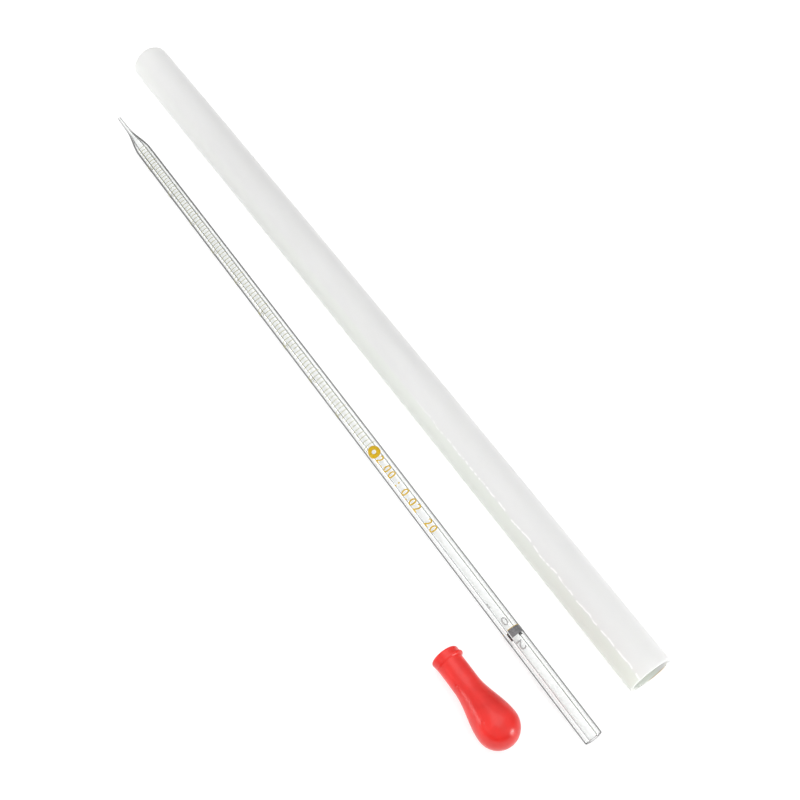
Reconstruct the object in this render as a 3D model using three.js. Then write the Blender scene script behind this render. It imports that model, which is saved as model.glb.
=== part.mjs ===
// A 2 ml graduated glass pipette laid out beside its rubber bulb and its plastic storage tube.
//
// Frame: +Z up, the three pieces lie on the plane z = 0, and all three long axes run along Y.
// The pipette's drawn tip, the bulb's mouth and the tube's far end point to +Y.
// The origin is under the middle of the whole layout. Sizes are in millimetres.

import * as THREE from 'three';

// Glass pipette: bore and graduation pitch go together, 0.02 ml for each 2.06 mm of bore.
const PIPETTE_LENGTH = 360;
const GLASS_RADIUS = 3.5;
const BORE_RADIUS = 1.75;
const FIRE_POLISH = 0.55;
const TAPER_LENGTH = 28;
const TIP_RADIUS = 0.75;
const JET_RADIUS = 0.3;
const CAPILLARY_LENGTH = 10;
const CAPILLARY_FLARE_PER_MM = 0.033;

// Rubber bulb: one moulding, a collar, a neck and a round belly with a closed end.
const BULB_LENGTH = 38.6;
const BELLY_RADIUS = 7.85;
const NECK_RADIUS = 4.95;
const COLLAR_RADIUS = 5.4;
const COLLAR_LENGTH = 3.4;
const NECK_LENGTH = 13;
const NECK_BORE_RADIUS = 4;
const BELLY_WALL = 1.4;
const RIM_ROUND = 0.7;

// Storage tube: a straight length of extruded pipe, open at both ends.
const TUBE_LENGTH = 375;
const TUBE_RADIUS = 8.85;
const TUBE_WALL = 1.2;
const CUT_CHAMFER = 0.25;

// Where the pieces lie, measured from the middle of the pipette's mouth end.
const TUBE_ACROSS = 28.5;
const TUBE_ALONG = 5;
const BULB_ACROSS = -25.4;
const BULB_ALONG = 51.4;

const ROUND_STEPS = 32;
const TAPER_STEPS = 14;

/** Points on an arc about (cx, cy) from one angle to another, both ends included. */
function arc(cx, cy, radius, fromDegrees, toDegrees, steps) {
  const points = [];
  for (let i = 0; i <= steps; i += 1) {
    const angle = THREE.MathUtils.degToRad(THREE.MathUtils.lerp(fromDegrees, toDegrees, i / steps));
    points.push(new THREE.Vector2(cx + radius * Math.cos(angle), cy + radius * Math.sin(angle)));
  }
  return points;
}

/** Points of a smooth S-shaped change of radius between two heights, both ends included. */
function easedRadius(fromRadius, toRadius, fromHeight, toHeight, steps) {
  const points = [];
  for (let i = 0; i <= steps; i += 1) {
    const share = i / steps;
    const radius = THREE.MathUtils.lerp(fromRadius, toRadius, THREE.MathUtils.smoothstep(share, 0, 1));
    points.push(new THREE.Vector2(radius, THREE.MathUtils.lerp(fromHeight, toHeight, share)));
  }
  return points;
}

/** Points along the drawn end, from the straight tube up through its swelling into the slim capillary. */
function drawnEnd(tubeRadius, tipRadius, topHeight) {
  const shoulder = PIPETTE_LENGTH - TAPER_LENGTH;
  const capillaryFoot = PIPETTE_LENGTH - CAPILLARY_LENGTH;
  const points = [];
  for (let i = 0; i <= TAPER_STEPS; i += 1) {
    const height = THREE.MathUtils.lerp(shoulder, topHeight, i / TAPER_STEPS);
    const slimRadius = tipRadius * (1 + CAPILLARY_FLARE_PER_MM * (topHeight - height));
    const drawn = THREE.MathUtils.smoothstep(height, shoulder, capillaryFoot);
    points.push(new THREE.Vector2(THREE.MathUtils.lerp(tubeRadius, slimRadius, drawn), height));
  }
  return points;
}

/** A solid of revolution about the Y axis, from a profile in (radius, height). */
function turned(name, profile, look) {
  const geometry = new THREE.LatheGeometry(profile, ROUND_STEPS);
  const mesh = new THREE.Mesh(geometry, new THREE.MeshStandardMaterial(look));
  mesh.name = name;
  return mesh;
}

/** Thick-walled glass tube with a fire-polished mouth at the origin and a drawn tip at +Y. */
function glassPipette() {
  const tipRound = TIP_RADIUS - JET_RADIUS;
  const outerLip = arc(GLASS_RADIUS - FIRE_POLISH, FIRE_POLISH, FIRE_POLISH, -90, 0, 4);
  const outerTaper = drawnEnd(GLASS_RADIUS, TIP_RADIUS, PIPETTE_LENGTH - tipRound / 2);
  const tipEnd = arc(JET_RADIUS + tipRound / 2, PIPETTE_LENGTH - tipRound / 2, tipRound / 2, 0, 180, 4).slice(1);
  const jetTaper = drawnEnd(BORE_RADIUS, JET_RADIUS, PIPETTE_LENGTH - tipRound / 2).reverse();
  const innerLip = arc(BORE_RADIUS + FIRE_POLISH, FIRE_POLISH, FIRE_POLISH, 180, 270, 4);
  const profile = [...outerLip, ...outerTaper, ...tipEnd, ...jetTaper, ...innerLip];
  profile.push(profile[0].clone());
  return turned('glass_pipette', profile, { color: 0xdfe6e4, roughness: 0.05, metalness: 0 });
}

/** Hollow rubber bulb with its mouth at the origin and its closed end at -Y. */
function rubberBulb() {
  const bellyHeight = -(BULB_LENGTH - BELLY_RADIUS);
  const cavityRadius = BELLY_RADIUS - BELLY_WALL;
  const inside = [
    ...arc(0, bellyHeight, cavityRadius, -90, 0, 8),
    ...easedRadius(cavityRadius, NECK_BORE_RADIUS, bellyHeight, -NECK_LENGTH, 8).slice(1),
  ];
  inside[0].x = 0;
  const rim = [
    new THREE.Vector2(NECK_BORE_RADIUS, 0),
    ...arc(COLLAR_RADIUS - RIM_ROUND, -RIM_ROUND, RIM_ROUND, 90, 0, 3),
    new THREE.Vector2(COLLAR_RADIUS, -COLLAR_LENGTH),
    new THREE.Vector2(NECK_RADIUS, -COLLAR_LENGTH - 0.5),
  ];
  const outside = [
    ...easedRadius(NECK_RADIUS, BELLY_RADIUS, -NECK_LENGTH, bellyHeight, 8),
    ...arc(0, bellyHeight, BELLY_RADIUS, 0, -90, 8).slice(1),
  ];
  outside[outside.length - 1].x = 0;
  // From the outside of the closed end up over the rim and back down inside.
  const profile = [...inside, ...rim, ...outside].reverse();
  return turned('rubber_bulb', profile, { color: 0xd8322b, roughness: 0.45, metalness: 0 });
}

/** Straight pipe from the origin to +Y, with its cut edges slightly broken. */
function storageTube() {
  const inner = TUBE_RADIUS - TUBE_WALL;
  const profile = [
    new THREE.Vector2(inner + CUT_CHAMFER, 0),
    new THREE.Vector2(TUBE_RADIUS - CUT_CHAMFER, 0),
    new THREE.Vector2(TUBE_RADIUS, CUT_CHAMFER),
    new THREE.Vector2(TUBE_RADIUS, TUBE_LENGTH - CUT_CHAMFER),
    new THREE.Vector2(TUBE_RADIUS - CUT_CHAMFER, TUBE_LENGTH),
    new THREE.Vector2(inner + CUT_CHAMFER, TUBE_LENGTH),
    new THREE.Vector2(inner, TUBE_LENGTH - CUT_CHAMFER),
    new THREE.Vector2(inner, CUT_CHAMFER),
  ];
  profile.push(profile[0].clone());
  return turned('storage_tube', profile, { color: 0xe8e9e6, roughness: 0.5, metalness: 0 });
}

/** Lays a piece on the plane z = 0 at a place beside the pipette's mouth. */
function layDown(piece, across, along) {
  piece.position.set(across, along, 0);
  piece.updateMatrixWorld(true);
  piece.position.z = -new THREE.Box3().setFromObject(piece, true).min.z;
}

/** How far the bulb's axis dips towards its mouth when it rests on its belly and its collar's edge. */
function bulbDip() {
  const bellyToEdge = BULB_LENGTH - BELLY_RADIUS - RIM_ROUND;
  const edgeDistance = Math.hypot(bellyToEdge, COLLAR_RADIUS);
  return Math.asin(BELLY_RADIUS / edgeDistance) - Math.atan2(COLLAR_RADIUS, bellyToEdge);
}

const pipette = glassPipette();
layDown(pipette, 0, 0);

const tube = storageTube();
layDown(tube, TUBE_ACROSS, TUBE_ALONG);

const bulb = rubberBulb();
bulb.rotation.x = -bulbDip();
layDown(bulb, BULB_ACROSS, BULB_ALONG);

const layout = new THREE.Group();
layout.add(pipette, tube, bulb);

// The origin goes under the middle of the layout.
layout.updateMatrixWorld(true);
const middle = new THREE.Box3().setFromObject(layout, true).getCenter(new THREE.Vector3());
layout.position.set(-middle.x, -middle.y, 0);

const row = new THREE.Group();
row.add(layout);

export default row;
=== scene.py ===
import math

import bmesh
import bpy
from mathutils import Matrix, Vector, noise


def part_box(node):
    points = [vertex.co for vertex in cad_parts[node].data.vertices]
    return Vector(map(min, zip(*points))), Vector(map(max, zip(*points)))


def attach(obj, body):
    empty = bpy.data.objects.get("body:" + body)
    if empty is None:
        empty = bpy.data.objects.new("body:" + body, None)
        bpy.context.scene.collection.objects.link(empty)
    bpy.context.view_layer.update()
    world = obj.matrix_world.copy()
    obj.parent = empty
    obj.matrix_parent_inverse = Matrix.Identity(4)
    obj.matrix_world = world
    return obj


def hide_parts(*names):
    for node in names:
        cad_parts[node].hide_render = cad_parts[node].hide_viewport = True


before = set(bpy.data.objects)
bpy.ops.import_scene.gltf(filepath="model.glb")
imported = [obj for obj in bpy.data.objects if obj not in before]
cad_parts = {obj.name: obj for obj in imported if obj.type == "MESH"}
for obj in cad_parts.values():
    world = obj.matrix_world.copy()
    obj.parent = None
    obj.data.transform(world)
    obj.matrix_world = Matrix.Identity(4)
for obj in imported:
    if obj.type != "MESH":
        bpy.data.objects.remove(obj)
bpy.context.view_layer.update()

# A graduated glass pipette, its rubber bulb and its plastic storage tube, lying on a white table.
# Lengths are in metres. The CAD frame gives every place: the long axes run along Y, the pipette's
# tip, the bulb's mouth and the tube's far end point to +Y, and the table is z = 0.

MM = 0.001

# ---------------------------------------------------------------- camera and light

CAMERA_TARGET = Vector((21.025 * MM, -39.6 * MM, 0.0))
CAMERA_AZIMUTH = math.radians(-34.14)
CAMERA_ELEVATION = math.radians(57.49)
CAMERA_DISTANCE = 435.7 * MM
CAMERA_LENS = 48.0
SENSOR_WIDTH = 36.0
FLOOR_HALF = 4.0

# The room's grey goes from dark to bright between two heights, as the upward part of a direction.
HORIZON_HEIGHT = 0.10
HORIZON_GREY = 0.02
CEILING_HEIGHT = 0.55
CEILING_GREY = 0.78
BACKDROP_GREY = 0.88
TABLE_GREY = 0.45
TABLE_GLOW = 0.66


def look_back(azimuth, elevation):
    """Unit vector from the target towards the camera. Azimuth 0 stands at -Y."""
    flat = math.cos(elevation)
    return Vector((math.sin(azimuth) * flat, -math.cos(azimuth) * flat, math.sin(elevation)))


def add_camera():
    """The camera at the photograph's viewing angle, with no roll."""
    data = bpy.data.cameras.new("camera")
    data.lens = CAMERA_LENS
    data.sensor_width = SENSOR_WIDTH
    data.clip_start = 0.01
    camera = bpy.data.objects.new("camera", data)
    bpy.context.scene.collection.objects.link(camera)
    back = look_back(CAMERA_AZIMUTH, CAMERA_ELEVATION)
    camera.location = CAMERA_TARGET + back * CAMERA_DISTANCE
    camera.rotation_euler = back.to_track_quat("Z", "Y").to_euler()
    bpy.context.scene.camera = camera


def grey_colour(level):
    return (level, level, level, 1)


def add_softbox(name, towards, distance, width, height, power, highlights=True):
    """A rectangular softbox that faces the origin from a direction. Cameras don't see the box itself.

    Distance, width and height are in metres and power is in watts. Without highlights the box
    lights surfaces but isn't mirrored in them.
    """
    data = bpy.data.lights.new(name, "AREA")
    data.shape = "RECTANGLE"
    data.size = width
    data.size_y = height
    data.energy = power
    light = bpy.data.objects.new(name, data)
    bpy.context.scene.collection.objects.link(light)
    direction = Vector(towards).normalized()
    light.location = direction * distance
    light.rotation_euler = direction.to_track_quat("Z", "Y").to_euler()
    light.visible_camera = False
    light.visible_glossy = highlights


def add_world():
    """A bright room overhead that is dark near the horizon, which draws part of the dark edges of glass;
    the rest is painted shade in the glass's colour.

    The backdrop that the camera sees directly is plain and pale.
    """
    world = bpy.data.worlds.new("studio")
    world.use_nodes = True
    bpy.context.scene.world = world
    nodes = world.node_tree.nodes
    links = world.node_tree.links
    nodes.clear()
    direction = nodes.new("ShaderNodeTexCoord")
    split = nodes.new("ShaderNodeSeparateXYZ")
    links.new(direction.outputs["Generated"], split.inputs["Vector"])
    ramp = nodes.new("ShaderNodeValToRGB")
    ramp.color_ramp.elements[0].position = HORIZON_HEIGHT
    ramp.color_ramp.elements[0].color = grey_colour(HORIZON_GREY)
    ramp.color_ramp.elements[1].position = CEILING_HEIGHT
    ramp.color_ramp.elements[1].color = grey_colour(CEILING_GREY)
    links.new(split.outputs["Z"], ramp.inputs["Fac"])
    room = nodes.new("ShaderNodeBackground")
    links.new(ramp.outputs["Color"], room.inputs["Color"])
    backdrop = nodes.new("ShaderNodeBackground")
    backdrop.inputs["Color"].default_value = grey_colour(BACKDROP_GREY)
    path = nodes.new("ShaderNodeLightPath")
    either = nodes.new("ShaderNodeMixShader")
    links.new(path.outputs["Is Camera Ray"], either.inputs["Fac"])
    links.new(room.outputs["Background"], either.inputs[1])
    links.new(backdrop.outputs["Background"], either.inputs[2])
    output = nodes.new("ShaderNodeOutputWorld")
    links.new(either.outputs["Shader"], output.inputs["Surface"])


def add_lights():
    """One big soft light overhead, two low ones for highlights, and three that only fill shade."""
    add_softbox("overhead_softbox", (0.08, 0.08, 1.0), 1.2, 1.2, 1.2, 5.4)
    add_softbox("low_left_softbox", (-0.875, 0.445, 0.16), 0.8, 0.34, 0.14, 1.0)
    add_softbox("near_softbox", (0.42, -0.90, 0.14), 0.8, 0.16, 0.12, 1.5)
    add_softbox("left_fill", (-0.90, -0.10, 0.42), 0.9, 0.60, 0.30, 2.5, highlights=False)
    add_softbox("right_fill", (0.90, 0.20, 0.40), 0.9, 0.60, 0.30, 1.0, highlights=False)
    add_softbox("near_fill", (0.10, -0.80, 0.60), 0.9, 0.25, 0.25, 0.4, highlights=False)


def add_floor():
    """A plain white light table, which leaves hardly any shadow."""
    bm = bmesh.new()
    corners = [(-1, -1), (1, -1), (1, 1), (-1, 1)]
    bm.faces.new([bm.verts.new((x * FLOOR_HALF, y * FLOOR_HALF, 0)) for x, y in corners])
    mesh = bpy.data.meshes.new("floor")
    bm.to_mesh(mesh)
    bm.free()
    floor = bpy.data.objects.new("floor", mesh)
    bpy.context.scene.collection.objects.link(floor)
    floor.data.materials.append(white_table())


# ---------------------------------------------------------------- materials


def new_material(name):
    """A new node material and its Principled shader."""
    material = bpy.data.materials.new(name)
    material.use_nodes = True
    return material, material.node_tree.nodes["Principled BSDF"]


def white_table():
    """A light table's frosted top, which glows evenly."""
    material, shader = new_material("white_table")
    shader.inputs["Base Color"].default_value = grey_colour(TABLE_GREY)
    shader.inputs["Roughness"].default_value = 0.7
    shader.inputs["Emission Color"].default_value = grey_colour(1.0)
    shader.inputs["Emission Strength"].default_value = TABLE_GLOW
    return material


def add_noise(material, scale, detail, stretch=(1, 1, 1)):
    """Noise in the object's own space. A stretch below 1 draws it out along that axis."""
    nodes = material.node_tree.nodes
    links = material.node_tree.links
    place = nodes.new("ShaderNodeTexCoord")
    mapping = nodes.new("ShaderNodeMapping")
    mapping.inputs["Scale"].default_value = stretch
    links.new(place.outputs["Object"], mapping.inputs["Vector"])
    texture = nodes.new("ShaderNodeTexNoise")
    texture.inputs["Scale"].default_value = scale
    texture.inputs["Detail"].default_value = detail
    links.new(mapping.outputs["Vector"], texture.inputs["Vector"])
    return texture.outputs["Fac"]


def add_bump(material, shader, height, strength, distance):
    """Bump from a height socket; distance is the real height in metres of a step from 0 to 1."""
    bump = material.node_tree.nodes.new("ShaderNodeBump")
    bump.inputs["Strength"].default_value = strength
    bump.inputs["Distance"].default_value = distance
    material.node_tree.links.new(height, bump.inputs["Height"])
    material.node_tree.links.new(bump.outputs["Normal"], shader.inputs["Normal"])


def add_ramp(material, value, stops):
    """A colour ramp over a value, from two (position, colour) stops."""
    ramp = material.node_tree.nodes.new("ShaderNodeValToRGB")
    for element, (position, colour) in zip(ramp.color_ramp.elements, stops):
        element.position = position
        element.color = (*colour, 1)
    material.node_tree.links.new(value, ramp.inputs["Fac"])
    return ramp.outputs["Color"]


def two_tone(material, value, dark, light):
    """The usual ramp over noise, from a dark to a light colour."""
    return add_ramp(material, value, [(0.3, dark), (0.7, light)])


def add_mix(material, factor, first, second):
    """Two colour sockets mixed by a factor socket."""
    first_colour = 6
    second_colour = 7
    mixed_colour = 2
    mix = material.node_tree.nodes.new("ShaderNodeMix")
    mix.data_type = "RGBA"
    links = material.node_tree.links
    links.new(factor, mix.inputs["Factor"])
    links.new(first, mix.inputs[first_colour])
    links.new(second, mix.inputs[second_colour])
    return mix.outputs[mixed_colour]


def add_facing(material):
    """0 where a surface faces the viewer, 1 where it is seen edge on."""
    edge = material.node_tree.nodes.new("ShaderNodeLayerWeight")
    edge.inputs["Blend"].default_value = 0.5
    return edge.outputs["Facing"]


def clear_glass():
    """Borosilicate tubing, with faint draw lines along it and painted shade at its edges: its colour goes
    black where the glass is seen edge on.
    """
    material, shader = new_material("clear_glass")
    # The face colour is the glass's own faint tint; the black at the edge is painted shade.
    face = (0.42, (0.975, 0.985, 0.98))
    edge = (0.58, (0.0, 0.0, 0.0))
    shader.inputs["Transmission Weight"].default_value = 1.0
    shader.inputs["Roughness"].default_value = 0.0
    shader.inputs["IOR"].default_value = 1.48
    painted_edge_shade = add_ramp(material, add_facing(material), [face, edge])
    material.node_tree.links.new(painted_edge_shade, shader.inputs["Base Color"])
    draw_lines = add_noise(material, 900, 2, (1, 0.02, 1))
    add_bump(material, shader, draw_lines, 0.02, 0.05 * MM)
    return material


def enamel(name, dark, light, roughness):
    """Fired enamel, a little uneven in its cover."""
    material, shader = new_material(name)
    grain = add_noise(material, 1500, 3)
    colour = add_ramp(material, grain, [(0.35, dark), (0.65, light)])
    material.node_tree.links.new(colour, shader.inputs["Base Color"])
    shader.inputs["Roughness"].default_value = roughness
    shader.inputs["Specular IOR Level"].default_value = 0.2
    return material


def red_rubber():
    """Moulded red rubber: mottled, with a soft sheen."""
    material, shader = new_material("red_rubber")
    mottle = add_noise(material, 140, 4)
    colour = two_tone(material, mottle, (0.62, 0.013, 0.009), (0.76, 0.021, 0.015))
    material.node_tree.links.new(colour, shader.inputs["Base Color"])
    shader.inputs["Roughness"].default_value = 0.30
    shader.inputs["Specular IOR Level"].default_value = 0.5
    shader.inputs["Subsurface Weight"].default_value = 0.12
    shader.inputs["Subsurface Radius"].default_value = (2.0 * MM, 0.3 * MM, 0.2 * MM)
    shader.inputs["Subsurface Scale"].default_value = 1.0
    grain = add_noise(material, 700, 5)
    add_bump(material, shader, grain, 0.30, 0.06 * MM)
    return material


def white_plastic():
    """Cloudy extruded polyethylene, waxy, with painted shade on one side of a crease and a painted
    highlight along it.
    """
    material, shader = new_material("white_plastic")
    cloud = add_noise(material, 40, 3, (1, 0.15, 1))
    cool = two_tone(material, cloud, (0.65, 0.65, 0.645), (0.725, 0.725, 0.72))
    painted_shade_tone = two_tone(material, cloud, (0.65, 0.68, 0.63), (0.70, 0.725, 0.68))
    white = two_tone(material, cloud, (0.80, 0.80, 0.79), (0.92, 0.92, 0.91))
    # Painted shade: past the crease the colour turns darker and greener.
    colour = add_mix(material, painted_shade_side(material), cool, painted_shade_tone)
    # Painted highlight: a thin broken line along the crease is painted nearly white.
    colour = add_mix(material, painted_highlight_crease(material), colour, white)
    material.node_tree.links.new(colour, shader.inputs["Base Color"])
    shader.inputs["Roughness"].default_value = 0.5
    shader.inputs["Subsurface Weight"].default_value = 0.9
    shader.inputs["Subsurface Radius"].default_value = (2.0 * MM, 2.0 * MM, 1.9 * MM)
    shader.inputs["Subsurface Scale"].default_value = 1.0
    die_lines = add_noise(material, 700, 4, (1, 0.03, 1))
    add_bump(material, shader, die_lines, 0.25, 0.08 * MM)
    return material


def add_math(material, operation, *values):
    """A math node over sockets and numbers."""
    node = material.node_tree.nodes.new("ShaderNodeMath")
    node.operation = operation
    for socket, value in zip(node.inputs, values):
        if isinstance(value, (int, float)):
            socket.default_value = value
        else:
            material.node_tree.links.new(value, socket)
    return node.outputs["Value"]


def add_range(material, value, low, high, to_low=0.0, to_high=1.0):
    """A value mapped from one range to another and held at its ends."""
    node = material.node_tree.nodes.new("ShaderNodeMapRange")
    material.node_tree.links.new(value, node.inputs["Value"])
    node.inputs["From Min"].default_value = low
    node.inputs["From Max"].default_value = high
    node.inputs["To Min"].default_value = to_low
    node.inputs["To Max"].default_value = to_high
    return node.outputs["Result"]


def tube_places(material):
    """Distance past the crease, towards -X and down, then Y, then height over the tube's axis, in metres.

    The crease only shows on the near half, so the axis is followed from the near end to the middle.
    """
    place = material.node_tree.nodes.new("ShaderNodeTexCoord")
    split = material.node_tree.nodes.new("ShaderNodeSeparateXYZ")
    material.node_tree.links.new(place.outputs["Object"], split.inputs["Vector"])
    along = split.outputs["Y"]
    middle_y = TUBE_NEAR_Y + TUBE_LENGTH / 2
    near_x = TUBE_X + tube_sideways(0)
    middle_x = TUBE_X + tube_sideways(0.5)
    axis = add_range(material, along, TUBE_NEAR_Y, middle_y, near_x, middle_x)
    sideways = add_math(material, "SUBTRACT", axis, split.outputs["X"])
    height = add_math(material, "SUBTRACT", split.outputs["Z"], TUBE_Z)
    sideways = add_math(material, "MULTIPLY", sideways, math.cos(CREASE_ANGLE))
    down = add_math(material, "MULTIPLY", height, -math.sin(CREASE_ANGLE))
    return add_math(material, "ADD", sideways, down), along, height


def painted_shade_side(material):
    """Where the tube takes painted shade: 1 past the crease on the near half, a quarter on the far half,
    and 0 on the crease's other side.
    """
    far_y = 90 * MM
    near_y = -90 * MM
    far_share = 0.25
    beside, along, _ = tube_places(material)
    across = add_range(material, beside, -0.5 * MM, 0.9 * MM)
    near = add_range(material, along, far_y, near_y, far_share, 1.0)
    return add_math(material, "MULTIPLY", across, near)


def painted_highlight_crease(material):
    """1 on the thin broken line along the near half's crease, where a highlight is painted nearly white.
    """
    wander_reach = 0.9 * MM
    line_edge = 0.42 * MM
    line_core = 0.10 * MM
    beside, along, height = tube_places(material)
    wander = add_noise(material, 110, 4, (0, 1, 0))
    wander = add_range(material, wander, 0.2, 0.8, -wander_reach, wander_reach)
    from_line = add_math(material, "ABSOLUTE", add_math(material, "ADD", beside, wander))
    line = add_range(material, from_line, line_edge, line_core)
    flecks = add_range(material, add_noise(material, 560, 4, (0.5, 1, 0.5)), 0.42, 0.52)
    upper_side = add_range(material, height, 1 * MM, 3 * MM)
    near_half = add_range(material, along, -45 * MM, -95 * MM)
    for mask in (flecks, upper_side, near_half):
        line = add_math(material, "MULTIPLY", line, mask)
    return line


def painted_rim_shade():
    """A tan brown that serves as painted shade on a strand along the near cut's lower inner edge."""
    material, shader = new_material("painted_rim_shade")
    patch = add_noise(material, 900, 3)
    # Painted shade: tan to brown, for the shade inside the near cut's lower edge.
    colour = two_tone(material, patch, (0.50, 0.28, 0.10), (0.72, 0.56, 0.34))
    material.node_tree.links.new(colour, shader.inputs["Base Color"])
    shader.inputs["Roughness"].default_value = 0.45
    return material


# ---------------------------------------------------------------- turned shapes


def centre_line(node):
    """Where a piece that lies along Y has its axis, its two ends in Y and its largest radius."""
    low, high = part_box(node)
    return (low.x + high.x) / 2, (low.z + high.z) / 2, low.y, high.y, (high.x - low.x) / 2


def smoothstep(share):
    """0 up to 0, 1 from 1, and an even S between them."""
    share = min(max(share, 0.0), 1.0)
    return share * share * (3 - 2 * share)


def arc(radius_centre, along_centre, radius, start, end, steps):
    """Points (radius, along) on an arc between two angles in degrees, both ends included."""
    points = []
    for i in range(steps + 1):
        angle = math.radians(start + (end - start) * i / steps)
        points.append((radius_centre + radius * math.cos(angle), along_centre + radius * math.sin(angle)))
    return points


def straight(radius, first, last, steps):
    """Points (radius, along) at one radius, both ends included."""
    return [(radius, first + (last - first) * i / steps) for i in range(steps + 1)]


def eased(start, end, first, last, steps):
    """Points (radius, along) of a smooth change of radius, both ends included."""
    points = []
    for i in range(steps + 1):
        share = i / steps
        points.append((start + (end - start) * smoothstep(share), first + (last - first) * share))
    return points


def turned(name, profile, place, steps, loop, material):
    """A surface of revolution. place(radius, along, angle) gives the point; radius 0 is one point.

    With loop the profile is a closed ring, and without it the profile starts and ends on the axis.
    """
    bm = bmesh.new()
    rings = []
    for radius, along in profile:
        if radius == 0:
            rings.append([bm.verts.new(place(0, along, 0))] * steps)
        else:
            rings.append([bm.verts.new(place(radius, along, math.tau * k / steps)) for k in range(steps)])
    pairs = list(zip(rings, rings[1:]))
    if loop:
        pairs.append((rings[-1], rings[0]))
    for first, second in pairs:
        for k in range(steps):
            n = (k + 1) % steps
            corners = [first[k], first[n], second[n], second[k]]
            bm.faces.new(list(dict.fromkeys(corners)))
    bmesh.ops.recalc_face_normals(bm, faces=bm.faces)
    return finished(name, bm, material)


def finished(name, bm, material):
    """Turns a bmesh into a smooth-shaded object with its material."""
    mesh = bpy.data.meshes.new(name)
    bm.to_mesh(mesh)
    bm.free()
    for polygon in mesh.polygons:
        polygon.use_smooth = True
    piece = bpy.data.objects.new(name, mesh)
    bpy.context.scene.collection.objects.link(piece)
    mesh.materials.append(material)
    return piece


# ---------------------------------------------------------------- pipette

PIPE_X, PIPE_Z, MOUTH_Y, TIP_Y, GLASS_RADIUS = centre_line("glass_pipette")
PIPE_LENGTH = TIP_Y - MOUTH_Y
BORE_RADIUS = 1.75 * MM
FIRE_POLISH = 0.55 * MM
TIP_RADIUS = 0.75 * MM
JET_RADIUS = 0.3 * MM
TAPER_LENGTH = 28 * MM
CAPILLARY_LENGTH = 10 * MM
CAPILLARY_FLARE = 0.033 / MM
PIPE_STEPS = 128
TAPER_STEPS = 48

# Enamel marks are placed by their distance from the tip and their angle from the top towards +X.
ENAMEL_LIFT = 0.012 * MM
ENAMEL_THICK = 0.03 * MM
FIGURE_SHARE = 0.7  # a figure's height as a share of the font's size
FIGURE_SLICE = 0.25 * MM  # the width of the slices that let a figure bend round the glass

# The scale: 95 divisions of 0.02 ml, counted from the zero line towards the tip.
DIVISION = 2.06 * MM
DIVISIONS = 95
DIVISIONS_PER_TENTH = 5
DIVISIONS_PER_LONG_LINE = 10
ZERO_LINE = 223.4 * MM
LINE_WIDTH = 0.26 * MM
LONG_LINE = (math.radians(-150), math.radians(25))
SHORT_LINE = (math.radians(-57), math.radians(9))
NUMBER_ANGLE = math.radians(-92)
NUMBER_HEIGHT = 1.7 * MM
NUMBER_SHIFT = 1.3 * MM

# The label: a plain ring, then numbers that read along the glass.
RING_FROM_TIP = 227.3 * MM
RING_ANGLE = math.radians(-20)
RING_RADIUS = 2.7 * MM
RING_HOLE_RADIUS = 0.9 * MM
RING_STEPS = 48
LABEL = "2.00 : 0.02  20"
LABEL_FROM_TIP = 249.3 * MM
LABEL_ANGLE = math.radians(-21)
LABEL_HEIGHT = 3.4 * MM

# The colour band goes part of the way round, in two stretches with gaps between them.
BAND_FROM_TIP = 315.7 * MM
BAND_WIDTH = 3.0 * MM
BAND_ARCS = [(math.radians(-36), math.radians(118)), (math.radians(-122), math.radians(-78))]
BAND_EDGE_GAP = 0.12 * MM
BAND_EDGE_WIDTH = 0.2 * MM

# The small figures by the band: figure, distance from the tip, angle, height.
FIGURES = [
    ("0", 310.7 * MM, math.radians(-14), 3.2 * MM),
    ("2", 320.9 * MM, math.radians(-20), 3.6 * MM),
    ("1", 302.8 * MM, math.radians(-36), 2.2 * MM),
]


def on_glass(radius, from_tip, angle):
    """A point of the pipette, turned from the top towards +X."""
    x = PIPE_X + radius * math.sin(angle)
    return Vector((x, TIP_Y - from_tip, PIPE_Z + radius * math.cos(angle)))


def drawn_radius(from_tip, tip, full):
    """Radius along the drawn tip: a slightly flared capillary that swells into the tube."""
    slim = tip * (1 + CAPILLARY_FLARE * from_tip)
    swell = smoothstep((from_tip - CAPILLARY_LENGTH) / (TAPER_LENGTH - CAPILLARY_LENGTH))
    return slim + (full - slim) * swell


def drawn_profile(tip, full, start):
    """The drawn tip's outline from its end up to the straight tube."""
    points = []
    for i in range(TAPER_STEPS + 1):
        from_tip = start + (TAPER_LENGTH - start) * i / TAPER_STEPS
        points.append((drawn_radius(from_tip, tip, full), from_tip))
    return points


def add_glass(material):
    """The glass itself: outside, fire-polished mouth, bore and jet as one closed skin."""
    lip = (TIP_RADIUS - JET_RADIUS) / 2
    tip_end = arc(JET_RADIUS + lip, lip, lip, 180, 360, 10)
    outside = drawn_profile(TIP_RADIUS, GLASS_RADIUS, 2 * lip)
    shoulder = PIPE_LENGTH - FIRE_POLISH
    outer_lip = arc(GLASS_RADIUS - FIRE_POLISH, shoulder, FIRE_POLISH, 0, 90, 8)
    inner_lip = arc(BORE_RADIUS + FIRE_POLISH, shoulder, FIRE_POLISH, 90, 180, 8)
    inside = drawn_profile(JET_RADIUS, BORE_RADIUS, 2 * lip)[::-1]
    profile = [*tip_end, *outside, *outer_lip, *inner_lip, *inside]
    piece = turned("pipette_glass", profile, on_glass, PIPE_STEPS, True, material)
    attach(piece, "pipette")
    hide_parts("glass_pipette")


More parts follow.
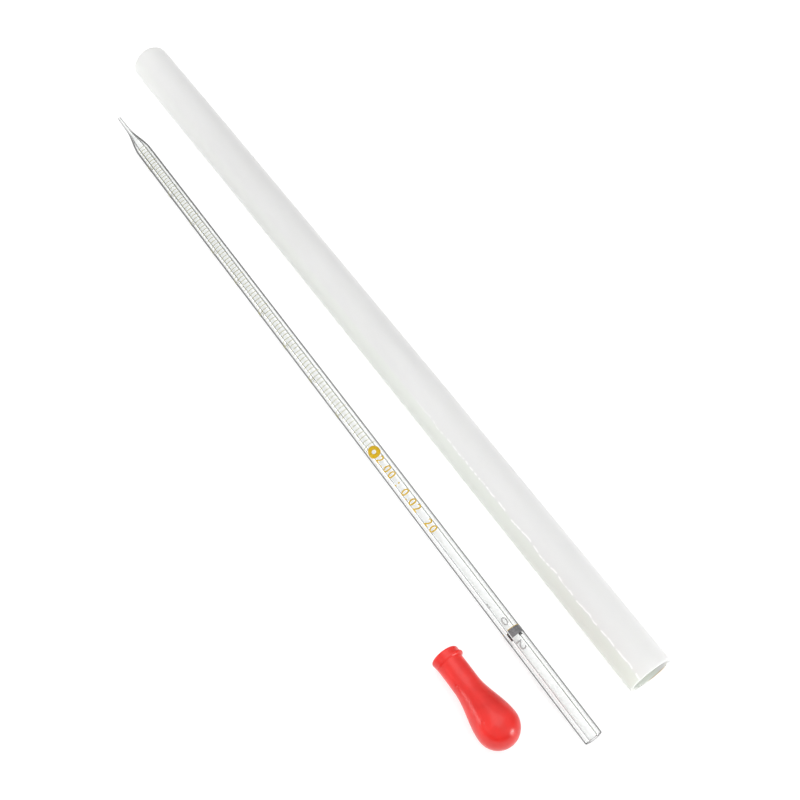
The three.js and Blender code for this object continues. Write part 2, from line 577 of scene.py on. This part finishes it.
def enamel_patch(bm, from_tip, width, start, end):
    """A thin curved patch of enamel: width along the pipette, from one angle to another round it."""
    longest_step = math.radians(4)
    steps = max(2, math.ceil(abs(end - start) / longest_step))
    inner = GLASS_RADIUS + ENAMEL_LIFT
    outer = inner + ENAMEL_THICK
    rows = []
    for i in range(steps + 1):
        angle = start + (end - start) * i / steps
        ring = [(inner, -0.5), (outer, -0.5), (outer, 0.5), (inner, 0.5)]
        rows.append([bm.verts.new(on_glass(r, from_tip + side * width, angle)) for r, side in ring])
    for first, second in zip(rows, rows[1:]):
        for k in range(4):
            n = (k + 1) % 4
            bm.faces.new([first[k], first[n], second[n], second[k]])
    bm.faces.new(rows[0])
    bm.faces.new(rows[-1][::-1])


def enamel_piece(name, bm, material):
    """Turns a bmesh of enamel into a crisp-edged piece that rides on the pipette."""
    bmesh.ops.recalc_face_normals(bm, faces=bm.faces)
    piece = finished(name, bm, material)
    for polygon in piece.data.polygons:
        polygon.use_smooth = False
    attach(piece, "pipette")


def add_scale(material):
    """95 divisions of 0.02 ml: a long line at each 0.2 ml and short ones between, numbered at the side."""
    bm = bmesh.new()
    for k in range(DIVISIONS + 1):
        start, end = SHORT_LINE if k % DIVISIONS_PER_LONG_LINE else LONG_LINE
        enamel_patch(bm, ZERO_LINE - k * DIVISION, LINE_WIDTH, start, end)
    for tenths in range(2, 20, 2):
        from_tip = ZERO_LINE - tenths * DIVISIONS_PER_TENTH * DIVISION + NUMBER_SHIFT
        enamel_text(bm, f"{tenths / 10:.1f}", from_tip, NUMBER_ANGLE, NUMBER_HEIGHT, True)
    enamel_piece("enamel_scale", bm, material)


def enamel_text(bm, text, from_tip, angle, height, upright):
    """Adds figures to bm, wrapped on the glass and centred at a place on it.

    Upright figures stand with their heads towards the tip; the others read along the
    pipette from the tip to the mouth, with their heads towards +X.
    """
    curve = bpy.data.curves.new("figures", "FONT")
    curve.body = text
    curve.size = height / FIGURE_SHARE
    curve.align_x = "CENTER"
    curve.align_y = "CENTER"
    curve.offset = 0.05 * MM
    curve.space_character = 1.0 if upright else 1.3
    curve.extrude = ENAMEL_THICK / 2
    flat = bpy.data.objects.new("figures", curve)
    bpy.context.scene.collection.objects.link(flat)
    bpy.context.view_layer.update()
    mesh = flat.evaluated_get(bpy.context.evaluated_depsgraph_get()).to_mesh()
    letters = bmesh.new()
    letters.from_mesh(mesh)
    bpy.data.objects.remove(flat)
    bpy.data.curves.remove(curve)
    axis_round_glass = 0 if upright else 1
    cut_across(letters, axis_round_glass, FIGURE_SLICE)
    for vert in letters.verts:
        radius = GLASS_RADIUS + ENAMEL_LIFT + ENAMEL_THICK / 2 + vert.co.z
        if upright:
            vert.co = on_glass(radius, from_tip + vert.co.y, angle - vert.co.x / GLASS_RADIUS)
        else:
            vert.co = on_glass(radius, from_tip + vert.co.x, angle + vert.co.y / GLASS_RADIUS)
    bmesh.ops.remove_doubles(letters, verts=letters.verts, dist=0.002 * MM)
    wrapped = bpy.data.meshes.new("figures")
    letters.to_mesh(wrapped)
    letters.free()
    bm.from_mesh(wrapped)
    bpy.data.meshes.remove(wrapped)


def cut_across(bm, axis, step):
    """Cuts flat figures into slices across an axis, so that they can bend round the glass."""
    normal = Vector((0, 0, 0))
    normal[axis] = 1
    reach = math.ceil(max(abs(v.co[axis]) for v in bm.verts) / step)
    for k in range(-reach, reach + 1):
        everything = [*bm.verts, *bm.edges, *bm.faces]
        bmesh.ops.bisect_plane(bm, geom=everything, plane_co=normal * k * step, plane_no=normal)


def enamel_ring(bm, from_tip, angle, outer, inner):
    """A ring of enamel laid on the curve of the glass."""
    middle = (inner + outer) / 2
    section = [(0, inner), (0, middle), (0, outer), (1, outer), (1, middle), (1, inner)]
    rings = []
    for level, radius in section:
        height = GLASS_RADIUS + ENAMEL_LIFT + level * ENAMEL_THICK
        ring = []
        for k in range(RING_STEPS):
            turn = math.tau * k / RING_STEPS
            across = angle + radius * math.sin(turn) / GLASS_RADIUS
            ring.append(bm.verts.new(on_glass(height, from_tip + radius * math.cos(turn), across)))
        rings.append(ring)
    for first, second in zip(rings, rings[1:] + rings[:1]):
        for k in range(RING_STEPS):
            n = (k + 1) % RING_STEPS
            bm.faces.new([first[k], first[n], second[n], second[k]])


def add_label(material):
    """A plain ring and the scale's own numbers, in amber, beside the zero line."""
    bm = bmesh.new()
    enamel_ring(bm, RING_FROM_TIP, RING_ANGLE, RING_RADIUS, RING_HOLE_RADIUS)
    enamel_text(bm, LABEL, LABEL_FROM_TIP, LABEL_ANGLE, LABEL_HEIGHT, False)
    enamel_piece("enamel_label", bm, material)


def add_band(material):
    """The broken colour band near the mouth."""
    bm = bmesh.new()
    for start, end in BAND_ARCS:
        enamel_patch(bm, BAND_FROM_TIP, BAND_WIDTH, start, end)
    enamel_piece("enamel_band", bm, material)


def add_band_edge(material):
    """A thin amber line along the band's tip side."""
    bm = bmesh.new()
    from_tip = BAND_FROM_TIP - BAND_WIDTH / 2 - BAND_EDGE_GAP
    for start, end in BAND_ARCS:
        enamel_patch(bm, from_tip, BAND_EDGE_WIDTH, start, end)
    enamel_piece("enamel_band_edge", bm, material)


def add_figures(material):
    """The small figures above and below the band."""
    bm = bmesh.new()
    for figure, from_tip, angle, height in FIGURES:
        enamel_text(bm, figure, from_tip, angle, height, True)
    enamel_piece("enamel_figures", bm, material)


# ---------------------------------------------------------------- storage tube

TUBE_X, TUBE_Z, TUBE_NEAR_Y, TUBE_FAR_Y, TUBE_RADIUS = centre_line("storage_tube")
TUBE_LENGTH = TUBE_FAR_Y - TUBE_NEAR_Y
TUBE_WALL = 1.2 * MM
CUT_ROUND = 0.18 * MM
TUBE_STEPS = 160
TUBE_BOW = 0.63 * MM
TUBE_LEAN_NEAR = -0.32 * MM
TUBE_LEAN_FAR = 0.50 * MM
CREASE_ANGLE = math.radians(44)
CREASE_HEIGHT = 0.10 * MM
CREASE_HALF_ANGLE = 0.055
CREASE_WANDERS_PER_METRE = 60
CREASE_BREAKS_PER_METRE = 330
CREASE_END = 0.37 * TUBE_LENGTH
CREASE_FADE = 0.13 * TUBE_LENGTH

# The tube's size at its near end and what it gains towards the far end, as shares of the CAD size.
TUBE_NEAR_SIZE = 0.994
TUBE_WIDENING = 0.036
TUBE_OUT_OF_ROUND = 0.006
RAGGED_DEPTH = 0.9 * MM
RAGGED_LENGTH = 2 * MM

# The strand of painted shade along the near cut's lower inner edge runs between two angles in degrees,
# from the top towards +X.
RIM_SHADE_START = 104
RIM_SHADE_END = 176
RIM_SHADE_STEPS = 24
RIM_SHADE_RADIUS = 0.15 * MM

# Each curl of the burr reaches this far sideways and up, in millimetres.
BURR_CURLS = [(-1.0, 1.1), (1.2, 1.6)]
BURR_ANGLE = math.radians(205)
BURR_STEPS = 8
BURR_RADIUS = 0.14 * MM
STRAND_SIDES = 8


def crease_lift(along, angle):
    """Height of the faint broken crease along the tube's near half, on the side towards -X."""
    from_crease = (angle - (math.tau - CREASE_ANGLE)) / CREASE_HALF_ANGLE
    wander = 0.5 * noise.noise(Vector((along * CREASE_WANDERS_PER_METRE, 3.1, 0.0)))
    broken = smoothstep(0.45 + 1.6 * noise.noise(Vector((along * CREASE_BREAKS_PER_METRE, 0.4, 7.7))))
    near = smoothstep((CREASE_END - along) / CREASE_FADE)
    return CREASE_HEIGHT * broken * near * math.exp(-((from_crease + wander) ** 2))


def tube_sideways(share):
    """How far the tube's axis lies towards +X of a straight line: it leans a little and bows."""
    lean = TUBE_LEAN_NEAR + (TUBE_LEAN_FAR - TUBE_LEAN_NEAR) * share
    return lean + TUBE_BOW * math.sin(math.pi * share)


def on_tube(radius, along, angle):
    """A point of the storage tube, which is bowed, a little out of round and widest at its far end."""
    share = along / TUBE_LENGTH
    size = TUBE_NEAR_SIZE + TUBE_WIDENING * share**2
    drift = Vector((math.sin(angle) * 0.9, share * 9, math.cos(angle) * 0.9))
    radius = radius * size * (1 + TUBE_OUT_OF_ROUND * noise.noise(drift) - TUBE_OUT_OF_ROUND / 2)
    radius += crease_lift(along, angle)
    x = TUBE_X + tube_sideways(share) + radius * math.sin(angle)
    return Vector((x, TUBE_NEAR_Y + along, TUBE_Z * size + radius * math.cos(angle)))


def on_tube_end(radius, along, angle):
    """The same with its far rim cut unevenly."""
    point = on_tube(radius, along, angle)
    waves = noise.noise(Vector((math.sin(angle) * 3, 5.0, math.cos(angle) * 3)))
    nicks = noise.noise(Vector((math.sin(angle) * 9, 2.0, math.cos(angle) * 9)))
    at_rim = smoothstep((along - (TUBE_LENGTH - RAGGED_LENGTH)) / RAGGED_LENGTH)
    point.y -= RAGGED_DEPTH * abs(waves + 0.7 * nicks) * at_rim
    return point


def add_tube(material):
    """The pipe, with both cut ends slightly rounded."""
    inner = TUBE_RADIUS - TUBE_WALL
    middle = (inner + TUBE_RADIUS) / 2
    near = [(inner + CUT_ROUND, 0), (middle, 0), (TUBE_RADIUS - CUT_ROUND, 0)]
    outside = straight(TUBE_RADIUS, CUT_ROUND, TUBE_LENGTH - CUT_ROUND, 420)
    far = [(radius, TUBE_LENGTH) for radius, _ in near[::-1]]
    inside = straight(inner, TUBE_LENGTH - CUT_ROUND, CUT_ROUND, 60)
    profile = [*near, *outside, *far, *inside]
    piece = turned("storage_tube_shell", profile, on_tube_end, TUBE_STEPS, True, material)
    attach(piece, "tube")
    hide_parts("storage_tube")


def swept(name, points, radius, material):
    """A thin strand through points, with narrow ends."""
    bm = bmesh.new()
    rings = []
    for i, point in enumerate(points):
        ahead = points[min(i + 1, len(points) - 1)] - points[max(i - 1, 0)]
        turn = ahead.to_track_quat("Z", "Y")
        share = i / (len(points) - 1)
        width = radius * max(0.15, math.sin(math.pi * share) ** 0.5)
        ring = []
        for k in range(STRAND_SIDES):
            angle = math.tau * k / STRAND_SIDES
            outwards = turn @ Vector((math.cos(angle), math.sin(angle), 0))
            ring.append(bm.verts.new(point + outwards * width))
        rings.append(ring)
    for first, second in zip(rings, rings[1:]):
        for k in range(STRAND_SIDES):
            n = (k + 1) % STRAND_SIDES
            bm.faces.new([first[k], first[n], second[n], second[k]])
    bm.faces.new(rings[0][::-1])
    bm.faces.new(rings[-1])
    bmesh.ops.recalc_face_normals(bm, faces=bm.faces)
    return finished(name, bm, material)


def add_painted_rim_shade(material):
    """A thin tan strand of painted shade along the lower inner edge of the near cut."""
    radius = TUBE_RADIUS - TUBE_WALL + RIM_SHADE_RADIUS
    points = []
    for i in range(RIM_SHADE_STEPS + 1):
        angle = math.radians(RIM_SHADE_START + (RIM_SHADE_END - RIM_SHADE_START) * i / RIM_SHADE_STEPS)
        points.append(on_tube(radius, 0.05 * MM, angle))
    piece = swept("tube_painted_rim_shade", points, RIM_SHADE_RADIUS, material)
    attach(piece, "tube")


def add_burr(material):
    """A forked curl of plastic that the cut left on the near rim."""
    radius = TUBE_RADIUS - TUBE_WALL
    root = on_tube(radius, 0.1 * MM, BURR_ANGLE)
    for k, (sideways, up) in enumerate(BURR_CURLS):
        points = []
        for i in range(BURR_STEPS + 1):
            share = i / BURR_STEPS
            curl = math.sin(share * math.pi) * 0.25
            x = (sideways * share + curl) * MM
            points.append(root + Vector((x, -0.35 * MM * share, up * share * MM)))
        piece = swept(f"tube_burr_{k + 1}", points, BURR_RADIUS, material)
        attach(piece, "tube")


# ---------------------------------------------------------------- rubber bulb

BULB_LENGTH = 38.6 * MM
BELLY_RADIUS = 7.85 * MM
NECK_RADIUS = 4.95 * MM
COLLAR_RADIUS = 5.4 * MM
COLLAR_LENGTH = 3.4 * MM
NECK_LENGTH = 13 * MM
NECK_BORE_RADIUS = 4.0 * MM
BELLY_WALL = 1.4 * MM
RIM_ROUND = 0.7 * MM
BULB_STEPS = 180

# The collar steps down to the neck between these two distances from the mouth.
COLLAR_STEP_START = COLLAR_LENGTH - 0.3 * MM
COLLAR_STEP_END = COLLAR_LENGTH + 0.5 * MM

# The lip that was pulled from the collar, and the opposite side where the collar merges with the neck.
LIP_ANGLE = math.radians(62)
LIP_SPREAD = math.radians(42)
LIP_HEIGHT = 0.62 * MM
LIP_FROM_MOUTH = 0.85 * COLLAR_LENGTH
LIP_LENGTH = 0.22 * COLLAR_LENGTH
MERGE_SPREAD = math.radians(110)
MERGE_SHARE = 0.9
UNEVENNESS = 0.07 * MM

# Moulding pips on the bulb: distance from the mouth, angle from the top towards +X, height, radius.
PIPS = [
    (12.5 * MM, math.radians(-48), -0.16 * MM, 0.35 * MM),
    (28.5 * MM, math.radians(-40), 0.32 * MM, 0.45 * MM),
    (28.9 * MM, math.radians(-37), -0.20 * MM, 0.28 * MM),
    (20.5 * MM, math.radians(-12), -0.05 * MM, 0.60 * MM),
]


def bulb_place():
    """Gives the function that turns the bulb's own (radius, from mouth, angle) into a point.

    The bulb lies on its belly and its collar, so its axis dips towards the mouth.
    """
    low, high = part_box("rubber_bulb")
    belly_to_edge = BULB_LENGTH - BELLY_RADIUS - RIM_ROUND
    edge = math.hypot(belly_to_edge, COLLAR_RADIUS)
    dip = math.asin(BELLY_RADIUS / edge) - math.atan2(COLLAR_RADIUS, belly_to_edge)
    belly = Vector(((low.x + high.x) / 2, low.y + BELLY_RADIUS, high.z - BELLY_RADIUS))
    tilt = Matrix.Rotation(-dip, 3, "X")

    def place(radius, from_mouth, angle):
        radius += bulb_relief(radius, from_mouth, angle)
        from_belly = BULB_LENGTH - BELLY_RADIUS - from_mouth
        return belly + tilt @ Vector((radius * math.sin(angle), from_belly, radius * math.cos(angle)))

    return place


def bulb_relief(radius, from_mouth, angle):
    """The moulding's faults outside: the pulled lip of its collar, small pips and a soft unevenness."""
    if radius < NECK_RADIUS - 0.2 * MM:
        return 0.0
    lift = 0.0
    for along, around, height, reach in PIPS:
        turn = (angle - around + math.pi) % math.tau - math.pi
        distance = math.hypot(from_mouth - along, turn * radius)
        lift += height * math.exp(-((distance / reach) ** 2))
    round_turn = (angle - LIP_ANGLE + math.pi) % math.tau - math.pi
    pull = math.exp(-((round_turn / LIP_SPREAD) ** 2))
    below_rim = (from_mouth - LIP_FROM_MOUTH) / LIP_LENGTH
    lift += LIP_HEIGHT * pull * math.exp(-(below_rim**2))
    if radius > NECK_RADIUS + 0.05 * MM and from_mouth < COLLAR_STEP_END:
        merged = smoothstep((MERGE_SPREAD - abs(abs(round_turn) - math.pi)) / MERGE_SPREAD)
        lift -= MERGE_SHARE * merged * (radius - NECK_RADIUS) * smoothstep(from_mouth / COLLAR_LENGTH)
    wave = noise.noise(Vector((math.sin(angle) * 1.3, from_mouth * 130, math.cos(angle) * 1.3)))
    return lift + UNEVENNESS * wave


def add_bulb(material):
    """Collar, neck, round belly and the hollow inside, as one skin."""
    belly = BULB_LENGTH - BELLY_RADIUS
    cavity = BELLY_RADIUS - BELLY_WALL
    inside = [
        (0, BULB_LENGTH - BELLY_WALL),
        *arc(0, belly, cavity, 90, 0, 16)[1:],
        *eased(cavity, NECK_BORE_RADIUS, belly, NECK_LENGTH, 16)[1:],
        (NECK_BORE_RADIUS, 0.4 * MM),
        (NECK_BORE_RADIUS + 0.3 * MM, 0),
    ]
    outside = [
        *arc(COLLAR_RADIUS - RIM_ROUND, RIM_ROUND, RIM_ROUND, -90, 0, 8),
        *straight(COLLAR_RADIUS, RIM_ROUND, COLLAR_STEP_START, 10)[1:],
        *eased(COLLAR_RADIUS, NECK_RADIUS, COLLAR_STEP_START, COLLAR_STEP_END, 6)[1:],
        *straight(NECK_RADIUS, COLLAR_STEP_END, NECK_LENGTH, 50)[1:],
        *eased(NECK_RADIUS, BELLY_RADIUS, NECK_LENGTH, belly, 90)[1:],
        *arc(0, belly, BELLY_RADIUS, 0, 90, 60)[1:-1],
        (0, BULB_LENGTH),
    ]
    piece = turned("bulb_rubber", [*inside, *outside], bulb_place(), BULB_STEPS, False, material)
    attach(piece, "bulb")
    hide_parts("rubber_bulb")


# ---------------------------------------------------------------- the scene

bpy.context.scene.view_settings.view_transform = "Standard"

add_camera()
add_world()
add_lights()
add_floor()

amber = enamel("amber_enamel", (0.46, 0.28, 0.003), (0.62, 0.40, 0.006), 0.35)
faded_amber = enamel("faded_amber_enamel", (0.30, 0.29, 0.13), (0.42, 0.40, 0.21), 0.4)
grey = enamel("grey_enamel", (0.12, 0.12, 0.125), (0.20, 0.20, 0.205), 0.4)
faded_grey = enamel("faded_grey_enamel", (0.30, 0.30, 0.30), (0.44, 0.44, 0.43), 0.4)
add_glass(clear_glass())
add_scale(faded_amber)
add_label(amber)
add_band(grey)
add_band_edge(amber)
add_figures(faded_grey)

plastic = white_plastic()
add_tube(plastic)
# The tan strand at the near cut is painted shade.
add_painted_rim_shade(painted_rim_shade())
add_burr(plastic)

add_bulb(red_rubber())
